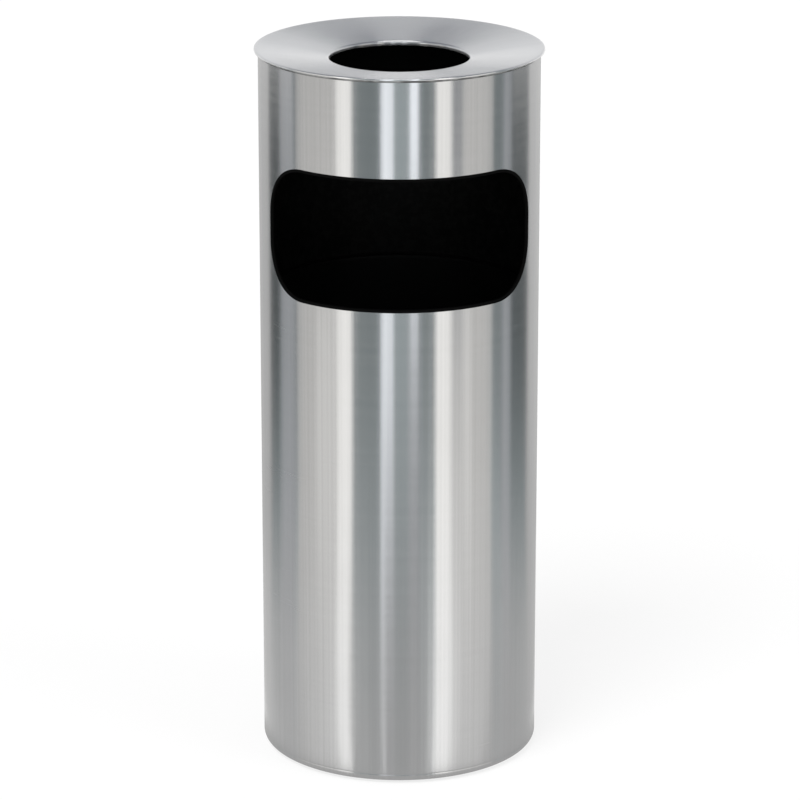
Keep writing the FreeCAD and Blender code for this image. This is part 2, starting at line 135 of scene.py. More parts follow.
def startGroup(name, inputs, outputs):
    group = bpy.data.node_groups.new(name, "ShaderNodeTree")
    for socketName, value in inputs.items():
        kinds = {float: "NodeSocketFloat", tuple: "NodeSocketColor", type(None): "NodeSocketVector"}
        socket = group.interface.new_socket(name=socketName, in_out="INPUT", socket_type=kinds[type(value)])
        if value is not None:
            socket.default_value = value
    for socketName, kind in outputs.items():
        group.interface.new_socket(name=socketName, in_out="OUTPUT", socket_type=kind)
    return group, addNode(group, "NodeGroupInput", -900, 0), addNode(group, "NodeGroupOutput", 900, 0)


def noiseAt(tree, x, y, vector, scale, detail=3.0, roughness=0.55):
    noise = addNode(tree, "ShaderNodeTexNoise", x, y)
    noise.inputs["Scale"].default_value = scale
    noise.inputs["Detail"].default_value = detail
    noise.inputs["Roughness"].default_value = roughness
    tree.links.new(vector, noise.inputs["Vector"])
    return noise.outputs["Fac"]


def spread(tree, x, y, value, low, high, toLow=0.0, toHigh=1.0):
    # Stretches the middle of a pattern to the range that a material needs.
    node = addNode(tree, "ShaderNodeMapRange", x, y, clamp=True)
    tree.links.new(value, node.inputs["Value"])
    for key, number in (("From Min", low), ("From Max", high), ("To Min", toLow), ("To Max", toHigh)):
        node.inputs[key].default_value = number
    return node.outputs["Result"]


def maths(tree, x, y, operation, first, second):
    node = addNode(tree, "ShaderNodeMath", x, y, operation=operation)
    for socket, value in zip(node.inputs, (first, second)):
        if isinstance(value, (int, float)):
            socket.default_value = value
        else:
            tree.links.new(value, socket)
    return node.outputs[0]


def mixColors(tree, x, y, factor, first, second, blend="MIX"):
    node = addNode(tree, "ShaderNodeMix", x, y, data_type="RGBA", blend_type=blend)
    for socket, value in ((node.inputs[0], factor), (node.inputs[6], first), (node.inputs[7], second)):
        if isinstance(value, (int, float, tuple)):
            socket.default_value = value
        else:
            tree.links.new(value, socket)
    return node.outputs[2]


def makeTurnedGrain():
    # Fine lines that run round the vertical axis, as an abrasive belt leaves on a turning sheet.
    group, given, result = startGroup(
        "turnedGrain", {"Vector": None, "Around": 8.0, "Along": 900.0},
        {"Height": "NodeSocketFloat", "Tone": "NodeSocketFloat"})
    stretch = addNode(group, "ShaderNodeCombineXYZ", -700, -200)
    for axis, source in (("X", "Around"), ("Y", "Around"), ("Z", "Along")):
        group.links.new(given.outputs[source], stretch.inputs[axis])
    lines = addNode(group, "ShaderNodeVectorMath", -500, 0, operation="MULTIPLY")
    group.links.new(given.outputs["Vector"], lines.inputs[0])
    group.links.new(stretch.outputs[0], lines.inputs[1])
    fine = noiseAt(group, -250, 100, lines.outputs[0], 1.0, 5.0, 0.7)
    broad = noiseAt(group, -250, -200, lines.outputs[0], 0.16, 2.0)
    group.links.new(fine, result.inputs["Height"])
    tone = maths(group, 300, -100, "ADD", maths(group, 100, 0, "MULTIPLY", fine, 0.6),
                 maths(group, 100, -200, "MULTIPLY", broad, 0.4))
    group.links.new(tone, result.inputs["Tone"])
    return group


def makeRollWaves():
    # Shallow upright flats and lines that rolling leaves in a sheet, the same from top to bottom.
    group, given, result = startGroup(
        "rollWaves", {"Vector": None, "Count": 10.0},
        {"Height": "NodeSocketFloat", "Tone": "NodeSocketFloat"})
    parts = addNode(group, "ShaderNodeSeparateXYZ", -700, 0)
    group.links.new(given.outputs["Vector"], parts.inputs[0])
    level = addNode(group, "ShaderNodeCombineXYZ", -550, 0)
    group.links.new(parts.outputs["X"], level.inputs["X"])
    group.links.new(parts.outputs["Y"], level.inputs["Y"])
    unit = addNode(group, "ShaderNodeVectorMath", -400, 0, operation="NORMALIZE")
    group.links.new(level.outputs[0], unit.inputs[0])
    around = addNode(group, "ShaderNodeVectorMath", -250, 0, operation="SCALE")
    group.links.new(unit.outputs[0], around.inputs[0])
    group.links.new(given.outputs["Count"], around.inputs["Scale"])
    waves = noiseAt(group, 0, 100, around.outputs[0], 1.0, 4.0, 0.6)
    lines = noiseAt(group, 0, -200, around.outputs[0], 5.0, 3.0, 0.7)
    group.links.new(waves, result.inputs["Height"])
    group.links.new(lines, result.inputs["Tone"])
    return group


def makeHandMarks():
    # Soft cloudy patches where hands and cloths have been.
    group, given, result = startGroup(
        "handMarks", {"Vector": None, "Scale": 14.0}, {"Mask": "NodeSocketFloat"})
    cloud = addNode(group, "ShaderNodeTexNoise", -400, 0)
    cloud.inputs["Detail"].default_value = 4.0
    cloud.inputs["Distortion"].default_value = 0.8
    group.links.new(given.outputs["Vector"], cloud.inputs["Vector"])
    group.links.new(given.outputs["Scale"], cloud.inputs["Scale"])
    group.links.new(spread(group, 0, 0, cloud.outputs["Fac"], 0.45, 0.75), result.inputs["Mask"])
    return group


coatWear = {"worn": (0.16, 0.155, 0.15, 1.0), "bare": (0.42, 0.42, 0.41, 1.0), "bareFade": 0.0002}


def makeCoatSkin():
    # Skin of a powder coat: fine orange peel, dust in patches and a thin worn line on sharp edges.
    group, given, result = startGroup(
        "coatSkin", {"Vector": None, "Coat": (0.02, 0.02, 0.02, 1.0), "Dust": (0.2, 0.19, 0.18, 1.0),
                     "Dusting": 0.1, "Wear": 0.3},
        {"Color": "NodeSocketColor", "Roughness": "NodeSocketFloat", "Height": "NodeSocketFloat"})
    spot = given.outputs["Vector"]
    peel = noiseAt(group, -600, 200, spot, 900.0, 2.0)
    patches = spread(group, -300, -100, noiseAt(group, -600, -100, spot, 22.0, 5.0), 0.45, 0.8)
    dusty = maths(group, -100, -100, "MULTIPLY", patches, given.outputs["Dusting"])
    color = mixColors(group, 100, 0, dusty, given.outputs["Coat"], given.outputs["Dust"])
    edge = addNode(group, "ShaderNodeNewGeometry", -600, -400)
    sharp = spread(group, -300, -400, edge.outputs["Pointiness"], 0.56, 0.66)
    broken = spread(group, -300, -650, noiseAt(group, -600, -650, spot, 160.0, 4.0), 0.45, 0.6)
    worn = maths(group, 0, -400, "MULTIPLY", maths(group, -100, -400, "MULTIPLY", sharp, broken),
                 given.outputs["Wear"])
    group.links.new(mixColors(group, 350, 0, worn, color, coatWear["worn"]), result.inputs["Color"])
    rough = maths(group, 350, -200, "ADD", maths(group, 200, -200, "MULTIPLY", patches, 0.18), 0.5)
    polish = maths(group, 350, -350, "MULTIPLY", worn, 0.3)
    group.links.new(maths(group, 500, -200, "SUBTRACT", rough, polish), result.inputs["Roughness"])
    group.links.new(peel, result.inputs["Height"])
    return group


def makePlatedSkin():
    # Bright zinc: small crystals, each a little lighter or darker, with dull spots.
    group, given, result = startGroup(
        "platedSkin", {"Vector": None, "Scale": 700.0},
        {"Tone": "NodeSocketFloat", "Roughness": "NodeSocketFloat", "Height": "NodeSocketFloat"})
    crystals = addNode(group, "ShaderNodeTexVoronoi", -500, 100)
    group.links.new(given.outputs["Vector"], crystals.inputs["Vector"])
    group.links.new(given.outputs["Scale"], crystals.inputs["Scale"])
    grey = addNode(group, "ShaderNodeSeparateColor", -300, 100)
    group.links.new(crystals.outputs["Color"], grey.inputs[0])
    dull = noiseAt(group, -500, -200, given.outputs["Vector"], 260.0, 4.0)
    group.links.new(grey.outputs[0], result.inputs["Tone"])
    group.links.new(spread(group, 0, -200, dull, 0.35, 0.7, 0.28, 0.5), result.inputs["Roughness"])
    group.links.new(dull, result.inputs["Height"])
    return group


def makeMouldedSkin():
    # Matt skin of rubber or plastic from a spark-eroded mould, with a film of dust.
    group, given, result = startGroup(
        "mouldedSkin", {"Vector": None, "Body": (0.02, 0.02, 0.02, 1.0), "Dust": (0.25, 0.24, 0.22, 1.0),
                        "Dusting": 0.1, "Grain": 1500.0},
        {"Color": "NodeSocketColor", "Roughness": "NodeSocketFloat", "Height": "NodeSocketFloat"})
    spot = given.outputs["Vector"]
    pits = addNode(group, "ShaderNodeTexVoronoi", -500, 200, feature="SMOOTH_F1")
    group.links.new(spot, pits.inputs["Vector"])
    group.links.new(given.outputs["Grain"], pits.inputs["Scale"])
    film = spread(group, -250, -100, noiseAt(group, -500, -100, spot, 60.0, 5.0), 0.42, 0.75)
    dusty = maths(group, 0, -100, "MULTIPLY", film, given.outputs["Dusting"])
    group.links.new(mixColors(group, 250, 0, dusty, given.outputs["Body"], given.outputs["Dust"]),
                    result.inputs["Color"])
    group.links.new(spread(group, 250, -250, film, 0.0, 1.0, 0.55, 0.8), result.inputs["Roughness"])
    group.links.new(pits.outputs["Distance"], result.inputs["Height"])
    return group


grainGroup = makeTurnedGrain()
waveGroup = makeRollWaves()
markGroup = makeHandMarks()
coatGroup = makeCoatSkin()
platedGroup = makePlatedSkin()
mouldedGroup = makeMouldedSkin()


def startMaterial(name):
    material = bpy.data.materials.new(name)
    material.use_nodes = True
    tree = material.node_tree
    shader = tree.nodes["Principled BSDF"]
    coordinates = addNode(tree, "ShaderNodeTexCoord", -1400, 0)
    return material, tree, shader, coordinates.outputs["Object"]


def placeGroup(tree, group, x, y, vector, **values):
    node = addNode(tree, "ShaderNodeGroup", x, y, node_tree=group)
    tree.links.new(vector, node.inputs["Vector"])
    for key, value in values.items():
        node.inputs[key].default_value = value
    return node.outputs


def addBump(tree, shader, x, y, height, distance, strength=1.0, before=None):
    bump = addNode(tree, "ShaderNodeBump", x, y)
    bump.inputs["Strength"].default_value = strength
    bump.inputs["Distance"].default_value = distance
    tree.links.new(height, bump.inputs["Height"])
    if before:
        tree.links.new(before.outputs["Normal"], bump.inputs["Normal"])
    tree.links.new(bump.outputs["Normal"], shader.inputs["Normal"])
    return bump


steel = {
    "tone": 0.60, "tonePlay": 0.07, "warmth": (1.0, 0.998, 0.995), "smudge": (0.35, 0.345, 0.33, 1.0),
    "roughness": 0.24, "roughnessPlay": 0.03, "anisotropy": 1.0, "grainTurn": 0.25,
}


def brushedSteel(name, tone=1.0, along=900.0, grain=0.00001, waves=0.000012, count=12.0, marks=0.02):
    material, tree, shader, spot = startMaterial(name)
    lines = placeGroup(tree, grainGroup, -1100, 200, spot, Along=along)
    rolled = placeGroup(tree, waveGroup, -1100, -100, spot, Count=count)
    hands = placeGroup(tree, markGroup, -1100, -400, spot)
    light = tuple(steel["tone"] * tone * (1 + steel["tonePlay"]) * c for c in steel["warmth"]) + (1.0,)
    dark = tuple(steel["tone"] * tone * (1 - steel["tonePlay"]) * c for c in steel["warmth"]) + (1.0,)
    pattern = maths(tree, -800, 200, "ADD", maths(tree, -900, 250, "MULTIPLY", lines["Tone"], 0.5),
                    maths(tree, -900, 100, "MULTIPLY", rolled["Tone"], 0.5))
    color = mixColors(tree, -500, 200, spread(tree, -650, 200, pattern, 0.3, 0.7), dark, light)
    smudge = maths(tree, -650, -400, "MULTIPLY", hands["Mask"], marks)
    tree.links.new(mixColors(tree, -300, 200, smudge, color, steel["smudge"]), shader.inputs["Base Color"])
    smooth, coarse = steel["roughness"] - steel["roughnessPlay"], steel["roughness"] + steel["roughnessPlay"]
    rough = spread(tree, -500, -100, lines["Tone"], 0.3, 0.7, smooth, coarse)
    tree.links.new(maths(tree, -300, -100, "ADD", rough, smudge), shader.inputs["Roughness"])
    shader.inputs["Metallic"].default_value = 1.0
    shader.inputs["Anisotropic"].default_value = steel["anisotropy"]
    shader.inputs["Anisotropic Rotation"].default_value = steel["grainTurn"]
    first = addBump(tree, shader, -500, -500, rolled["Height"], waves)
    addBump(tree, shader, -300, -500, lines["Height"], grain, before=first)
    return material


def coatedSteel(name, coat=(0.012, 0.012, 0.013), dusting=0.03, wear=0.3, peel=0.00004, bareFrom=None):
    material, tree, shader, spot = startMaterial(name)
    skin = placeGroup(tree, coatGroup, -700, 0, spot, Coat=coat + (1.0,), Dusting=dusting, Wear=wear)
    color = skin["Color"]
    if bareFrom:                                     # above this height the coat is rubbed off in places as wear, which also lightens and breaks the painted shadow line of the pan's rim
        parts = addNode(tree, "ShaderNodeSeparateXYZ", -1100, 400)
        tree.links.new(spot, parts.inputs[0])
        rim = spread(tree, -900, 400, parts.outputs["Z"], bareFrom, bareFrom + coatWear["bareFade"])
        patches = spread(tree, -900, 650, noiseAt(tree, -1100, 650, spot, 55.0, 3.0), 0.38, 0.55, 0.3, 1.0)
        bare = maths(tree, -700, 400, "MULTIPLY", rim, patches)
        color = mixColors(tree, -500, 300, bare, color, coatWear["bare"])
        tree.links.new(bare, shader.inputs["Metallic"])
    tree.links.new(color, shader.inputs["Base Color"])
    tree.links.new(skin["Roughness"], shader.inputs["Roughness"])
    addBump(tree, shader, -300, -300, skin["Height"], peel)
    shader.inputs["Specular IOR Level"].default_value = 0.12
    return material


def platedSteel(name, dark=(0.42, 0.42, 0.40), light=(0.62, 0.63, 0.62), crystals=700.0):
    material, tree, shader, spot = startMaterial(name)
    skin = placeGroup(tree, platedGroup, -700, 0, spot, Scale=crystals)
    tree.links.new(mixColors(tree, -400, 100, skin["Tone"], dark + (1.0,), light + (1.0,)),
                   shader.inputs["Base Color"])
    tree.links.new(skin["Roughness"], shader.inputs["Roughness"])
    addBump(tree, shader, -300, -300, skin["Height"], 0.00002)
    shader.inputs["Metallic"].default_value = 1.0
    return material


def moulded(name, body=(0.016, 0.016, 0.017), dusting=0.05, grain=1500.0, pits=0.00003, gloss=0.15):
    material, tree, shader, spot = startMaterial(name)
    skin = placeGroup(tree, mouldedGroup, -700, 0, spot, Body=body + (1.0,), Dusting=dusting, Grain=grain)
    tree.links.new(skin["Color"], shader.inputs["Base Color"])
    tree.links.new(skin["Roughness"], shader.inputs["Roughness"])
    addBump(tree, shader, -300, -300, skin["Height"], pits)
    shader.inputs["Specular IOR Level"].default_value = gloss
    return material


finishes = {
    "shell_steel": brushedSteel("shellSteel"),
    # The top's steel is the shell's steel at 1.4 times its tone: painted light, a lighter copy of the same
    # steel for the top.
    "lid_steel": brushedSteel("topSteelPaintedLight", tone=1.4, along=60.0, waves=0.000004, marks=0.03),
    "strip_steel": brushedSteel("stripSteel", tone=0.9, along=700.0),
    "collar_steel": brushedSteel("collarSteel", tone=0.95, along=700.0),
    # The sleeve's coat is far darker than real paint: painted shade, a black sheet that makes the inside of
    # the mouth read as shade.
    "sleeve_paint": coatedSteel("sleevePaintedShade", coat=(0.0022, 0.0022, 0.0022), dusting=0.004, wear=0.05),
    # The pan's coat is darker than real paint: partly black paint, partly painted shade that makes the hole
    # read black, and its black rim is a painted shadow line under the top's hem.
    "pan_paint": coatedSteel("panBlackAndShade", coat=(0.0025, 0.0025, 0.0025), dusting=0.006, wear=0.05,
                             bareFrom=0.6457),       # just under the tube's top edge
    "base_paint": coatedSteel("baseBlack", dusting=0.08),
    # The inner bin's coats are darker than real paint: partly black paint, partly painted shade, so that the
    # bin reads as black shade through the mouth.
    "bin_paint": coatedSteel("binBlackAndShade", coat=(0.003, 0.003, 0.003), dusting=0.006, wear=0.35),
    "bin_floor_paint": coatedSteel("binFloorBlackAndShade", coat=(0.004, 0.004, 0.004), dusting=0.03),
    "ear_paint": coatedSteel("earBlack", wear=0.45),
    "bail_paint": coatedSteel("bailBlack", wear=0.25, peel=0.00002),
    # The trim is darker and duller than real rubber: partly black rubber, partly painted shade, so that the
    # mouth's edge merges with the black inside.
    "trim_rubber": moulded("trimRubberAndShade", body=(0.002, 0.002, 0.002), dusting=0.003, gloss=0.03),
    "foot_rubber": moulded("footRubber", body=(0.022, 0.022, 0.022), dusting=0.2),
    "grip_plastic": moulded("gripPlastic", body=(0.014, 0.014, 0.015), grain=2200.0, pits=0.00001),
    "screw_zinc": platedSteel("screwZinc"),
    "washer_zinc": platedSteel("washerZinc", crystals=500.0),
    "nut_zinc": platedSteel("nutZinc", dark=(0.40, 0.40, 0.36), light=(0.60, 0.60, 0.55)),
    "rim_wire_steel": platedSteel("wireSteel", dark=(0.30, 0.30, 0.30), light=(0.45, 0.45, 0.45),
                                  crystals=1200.0),
    "rivet_steel": platedSteel("rivetSteel", dark=(0.45, 0.45, 0.46), light=(0.60, 0.60, 0.61),
                               crystals=900.0),
}
print("stage: finishes", len(finishes))


# Tube, its mouth and the sleeve behind it

tube = {
    "radius": 0.125, "sheet": 0.001, "low": 0.002, "top": 0.6458, "roll": 0.006, "lip": 0.004,
    "groove": 0.00025, "grooveStep": 0.0004, "steps": 512,
}
mouth = {
    "low": 0.441, "high": 0.561, "halfArc": 0.142, "corner": 0.049, "lip": 0.0016, "web": 0.0012,
    "cornerSteps": 28, "slices": 100, "cutDepth": 0.03,
}
sleeve = {"sheet": 0.0008, "low": 0.425, "steps": 384}
trim = {"proud": 0.0006, "round": 0.0009}
seam = {"gap": 0.0005, "cutDepth": 0.03}


def mouthFace(name, inset):
    # Flat rounded outline of the mouth, standing in the XZ plane.
    width = 2 * (mouth["halfArc"] - inset)
    height = mouth["high"] - mouth["low"] - 2 * inset
    middle = (mouth["high"] + mouth["low"]) / 2
    bpy.ops.mesh.primitive_plane_add(size=1, location=(0, 0, middle), rotation=(math.pi / 2, 0, 0))
    piece = named(name)
    piece.scale = (width, height, 1)
    place(piece)
    editAll(piece)
    bpy.ops.mesh.bevel(offset=mouth["corner"] - inset, segments=mouth["cornerSteps"], affect="VERTICES")
    return piece


def wrapOnTube(piece):
    # Bends a flat piece that stands in the XZ plane round the tube.
    angle = piece.dimensions.x / tube["radius"]
    applyModifier(piece, "SIMPLE_DEFORM", deform_method="BEND", deform_axis="Z", angle=angle)
    piece.location = (0, -tube["radius"], 0)
    place(piece)


def sliceForBend():
    # Cuts across the outline at even steps, so that it can bend smoothly.
    half, slices = mouth["halfArc"], mouth["slices"]
    for i in range(1, slices):
        bpy.ops.mesh.select_all(action="SELECT")
        bpy.ops.mesh.bisect(plane_co=(-half + 2 * half * i / slices, 0, 0), plane_no=(1, 0, 0))
    bpy.ops.mesh.select_all(action="SELECT")


def makeMouthCutter():
    piece = mouthFace("mouthCutter", mouth["lip"])
    depth = mouth["cutDepth"]
    bpy.ops.mesh.select_all(action="SELECT")
    bpy.ops.transform.translate(value=(0, -depth, 0))
    bpy.ops.mesh.extrude_region_move(TRANSFORM_OT_translate={"value": (0, 2 * depth, 0)})
    sliceForBend()
    bpy.ops.mesh.normals_make_consistent(inside=False)
    bpy.ops.object.mode_set(mode="OBJECT")
    wrapOnTube(piece)
    return piece


def makeTube(cutter):
    r, t, roll = tube["radius"], tube["sheet"], tube["roll"]
    rollCenter = (r - roll, tube["low"] + roll)
    lipRadius = r - roll - tube["lip"]
    groove, step = tube["groove"], tube["grooveStep"]
    grooveLow = rollCenter[1] + step
    section = [(r, tube["top"]), (r, grooveLow + 4.5 * step), (r, grooveLow + 3 * step)]
    section += [(r - groove, grooveLow + 2 * step), (r - groove, grooveLow + step), (r, grooveLow)]
    section += arcPoints(rollCenter, roll, 0, -90, 10)
    section += arcPoints((lipRadius, tube["low"] + t / 2), t / 2, -90, -270, 6)
    section += arcPoints(rollCenter, roll - t, -90, 0, 10)
    section += [(r - t, tube["top"])]
    piece = turnSection("tubeBody", section, tube["steps"])
    cutWith(piece, cutter)
    bpy.ops.mesh.primitive_cube_add(size=1, location=(0, r, tube["top"] / 2),
                                    scale=(seam["gap"], seam["cutDepth"], 2 * tube["top"]))
    slit = named("slitCutter")
    place(slit)
    cutWith(piece, slit)
    removeObject(slit)
    return piece


# The sleeve is a black sheet put behind the mouth as painted shade, hiding the tube's bright inner wall.
def makeSleeve(cutter):
    outer = tube["radius"] - tube["sheet"]
    inner = outer - sleeve["sheet"]
    section = [(outer, sleeve["low"]), (outer, tube["top"]), (inner, tube["top"]), (inner, sleeve["low"])]
    piece = turnSection("shadeSleeve", section, sleeve["steps"])
    cutWith(piece, cutter)
    return piece


def makeTrim():
    # Rubber channel on the mouth's edge: a band round the outline, thickened and rounded.
    depth = tube["sheet"] + sleeve["sheet"] + 2 * trim["proud"]
    piece = mouthFace("mouthTrim", 0)
    sliceForBend()
    bpy.ops.mesh.inset(thickness=mouth["lip"] + mouth["web"], use_boundary=True)
    bpy.ops.mesh.delete(type="FACE")
    bpy.ops.mesh.select_all(action="SELECT")
    bpy.ops.transform.translate(value=(0, -trim["proud"], 0))
    bpy.ops.mesh.extrude_region_move(TRANSFORM_OT_translate={"value": (0, depth, 0)})
    bpy.ops.mesh.select_all(action="SELECT")
    bpy.ops.mesh.normals_make_consistent(inside=False)
    bpy.ops.object.mode_set(mode="OBJECT")
    applyModifier(piece, "BEVEL", width=trim["round"], segments=4, limit_method="ANGLE",
                  angle_limit=math.radians(50), use_clamp_overlap=False)
    wrapOnTube(piece)
    return piece


mouthCutter = makeMouthCutter()
tubeBody = makeTube(mouthCutter)
shadeSleeve = makeSleeve(mouthCutter)
mouthTrim = makeTrim()
removeObject(mouthCutter)
finishPiece(tubeBody, "housing", "shell_steel", "outer_shell")
finishPiece(shadeSleeve, "housing", "sleeve_paint", "throat_sleeve")
finishPiece(mouthTrim, "housing", "trim_rubber", "mouth_trim", angle=40)
print("stage: tube and sleeve", len(tubeBody.data.polygons), len(shadeSleeve.data.polygons))


# Ashtray top

top = {
    "radius": 0.12875, "height": 0.650, "hem": 0.002, "hemFlat": 0.00175, "dishRadius": 0.630,
    "rimTilt": 4.8, "hole": 0.062, "roll": 0.0025, "neck": 0.0015, "sheet": 0.001, "fold": 0.1222,
    "steps": 512,
}


def dishCenter():
    # Centre of the dish's curve in the section: the dish falls from the rim towards the hole.
    tilt = math.radians(top["rimTilt"])
    start = top["radius"] - top["hem"] / 2 - top["hemFlat"]
    return start + top["dishRadius"] * math.sin(tilt), top["height"] - top["dishRadius"] * math.cos(tilt)


def dishPoint(reach, radius):
    # Height and angle on the curve of this radius about the dish's centre, at a distance from the axis.
    center = dishCenter()
    across = center[0] - reach
    return center[1] + math.sqrt(radius ** 2 - across ** 2), 90 + math.degrees(math.asin(across / radius))


def makeTop():
    hemRound, sheet, dish = top["hem"] / 2, top["sheet"], top["dishRadius"]
    rollRadius = top["hole"] + top["roll"]
    rollHeight, rollTurn = dishPoint(rollRadius, dish - top["roll"])
    foldTurn = dishPoint(top["fold"], dish - sheet)[1]
    section = arcPoints((top["radius"] - hemRound, top["height"] - hemRound), hemRound, -90, 90, 12)
    section += arcPoints(dishCenter(), dish, 90 + top["rimTilt"], rollTurn, 18)
    section += arcPoints((rollRadius, rollHeight), top["roll"], rollTurn, 180, 12)
    section += arcPoints((top["hole"] + sheet / 2, rollHeight - top["neck"]), sheet / 2, 180, 360, 6)
    section += arcPoints((rollRadius, rollHeight), top["roll"] - sheet, 180, rollTurn, 10)
    section += arcPoints(dishCenter(), dish - sheet, rollTurn, foldTurn, 12)
    section += [(top["fold"], top["height"] - top["hem"])]
    return turnSection("ashtrayTop", section, top["steps"])


finishPiece(makeTop(), "lid", "lid_steel", "lid_plate", angle=40)
print("stage: ashtray top")


# Ring under the top, and the ash pan

collar = {"outer": 0.1206, "sheet": 0.0008, "low": 0.633, "play": 0.0001, "steps": 256}
pan = {
    "radius": 0.122, "sheet": 0.0008, "low": 0.590, "corner": 0.008, "flange": 0.125, "rim": 0.0022,
    "rimRound": 0.0004, "fold": 0.0005, "straight": 0.004, "play": 0.0001, "steps": 256,
}
poleRadius = 0.003                                   # flat middle that closes a disc
discRing = 0.05                                      # ring of edges half-way out on a disc
wornEdge = 0.003                                     # edges this far from a sharp one keep its wear there


def makeCollar():
    outer, inner, edge = collar["outer"], collar["outer"] - collar["sheet"], collar["sheet"] / 2
    high = dishPoint(inner, top["dishRadius"] - top["sheet"])[0] - collar["play"]
    section = [(outer, high)]
    section += arcPoints((outer - edge, collar["low"] + edge), edge, 0, -180, 6)
    section += [(inner, high)]
    return turnSection("topCollar", section, collar["steps"])


def makePan():
    r, t, corner, fold = pan["radius"], pan["sheet"], pan["corner"], pan["fold"]
    bend = (r - corner, pan["low"] + corner)
    high = top["height"] - top["hem"] - pan["play"]
    section = [(poleRadius, pan["low"] + t), (discRing, pan["low"] + t)]
    section += arcPoints(bend, corner - t, 270, 360, 8)
    section += [(r - t, high - pan["straight"])]
    section += arcPoints((r - t + fold, high - fold), fold, 180, 90, 4)
    edge, rimLow = pan["rimRound"], high - pan["rim"] + 2 * pan["play"]
    section += arcPoints((pan["flange"] - edge, high - edge), edge, 90, 0, 3)
    section += arcPoints((pan["flange"] - edge, rimLow + edge), edge, 0, -90, 3)
    section += [(r, rimLow), (r, rimLow - wornEdge)]
    section += arcPoints(bend, corner, 360, 270, 10)
    section += [(discRing, pan["low"]), (poleRadius, pan["low"])]
    return turnSection("ashPan", section, pan["steps"], closed=False)


finishPiece(makeCollar(), "lid", "collar_steel", "lid_collar")
finishPiece(makePan(), "ash_pan", "pan_paint", "ash_pan", angle=50)
print("stage: ring and ash pan")


# Inner bin

innerBin = {
    "radius": 0.111, "sheet": 0.0007, "low": 0.0092, "high": 0.430, "wire": 0.002, "curlEnd": -110,
    "floor": 0.018, "floorSheet": 0.0008, "floorBend": 0.002, "steps": 256, "floorSteps": 192,
}
lockSeam = {"width": 0.008, "rise": 0.0014, "sunk": 0.0003, "round": 0.0005, "low": 0.012, "high": 0.420}


def makeBinWall():
    r, t, wire = innerBin["radius"], innerBin["sheet"], innerBin["wire"]
    curl, worn = (r + wire, innerBin["high"] - wire - t), innerBin["low"] + wornEdge
    section = [(r - t, innerBin["low"]), (r, innerBin["low"]), (r, worn), (r, curl[1] - wornEdge)]
    section += arcPoints(curl, wire, 180, innerBin["curlEnd"], 18)
    section += arcPoints(curl, wire + t, innerBin["curlEnd"], 180, 22)
    section += [(r - t, curl[1] - wornEdge), (r - t, worn)]
    return turnSection("binWall", section, innerBin["steps"])


def makeLockSeam():
    # Folded seam that stands out a little down the back of the wall.
    rise, sunk = lockSeam["rise"], lockSeam["sunk"]
    height = lockSeam["high"] - lockSeam["low"]
    middle = (lockSeam["high"] + lockSeam["low"]) / 2
    bpy.ops.mesh.primitive_cube_add(size=1, location=(0, innerBin["radius"] + rise / 2 - sunk, middle),
                                    scale=(lockSeam["width"], rise + 2 * sunk, height))
    piece = named("lockSeam")
    place(piece)
    applyModifier(piece, "BEVEL", width=lockSeam["round"], segments=3, limit_method="ANGLE")
    return piece


def makeBinFloor():
    t, bend = innerBin["floorSheet"], innerBin["floorBend"]
    r = innerBin["radius"] - innerBin["sheet"]
    high = innerBin["floor"] + t
    corner = (r - bend, high - bend)
    section = [(poleRadius, high), (discRing, high)]
    section += arcPoints(corner, bend, 90, 0, 6)
    section += [(r, innerBin["low"]), (r - t, innerBin["low"])]
    section += arcPoints(corner, bend - t, 0, 90, 5)
    section += [(discRing, innerBin["floor"]), (poleRadius, innerBin["floor"])]
    return turnSection("binFloor", section, innerBin["floorSteps"], closed=False)


finishPiece(makeBinWall(), "inner_bin", "bin_paint", "bin_wall")
finishPiece(makeLockSeam(), "inner_bin", "bin_paint")
finishPiece(makeBinFloor(), "inner_bin", "bin_floor_paint", "bin_bottom")
print("stage: inner bin")


# Bail and its grip, drawn level and then tilted up to its place over the rim

bail = {
    "pivot": 0.412, "wire": 0.002, "radius": 0.1196, "hook": 0.004, "gripHalf": 0.040, "bend": 0.008,
    "tip": 0.11335, "tipHead": 0.0035, "tipSheet": 0.0012, "tipRound": 0.0003, "tilt": 11.671,
}
grip = {"radius": 0.0045, "length": 0.064, "rings": 7, "ringDepth": 0.0005, "steps": 48}
# Places along one ring groove and how deep it is there, both in ring depths
ringShape = ((-1.6, 0), (-1.0, 0.25), (-0.5, 0.85), (0, 1), (0.5, 0.85), (1.0, 0.25), (1.6, 0))


def tiltToRest(piece):
    piece.rotation_euler = (math.radians(-bail["tilt"]), 0, 0)
    piece.location = (0, 0, bail["pivot"])
    place(piece)


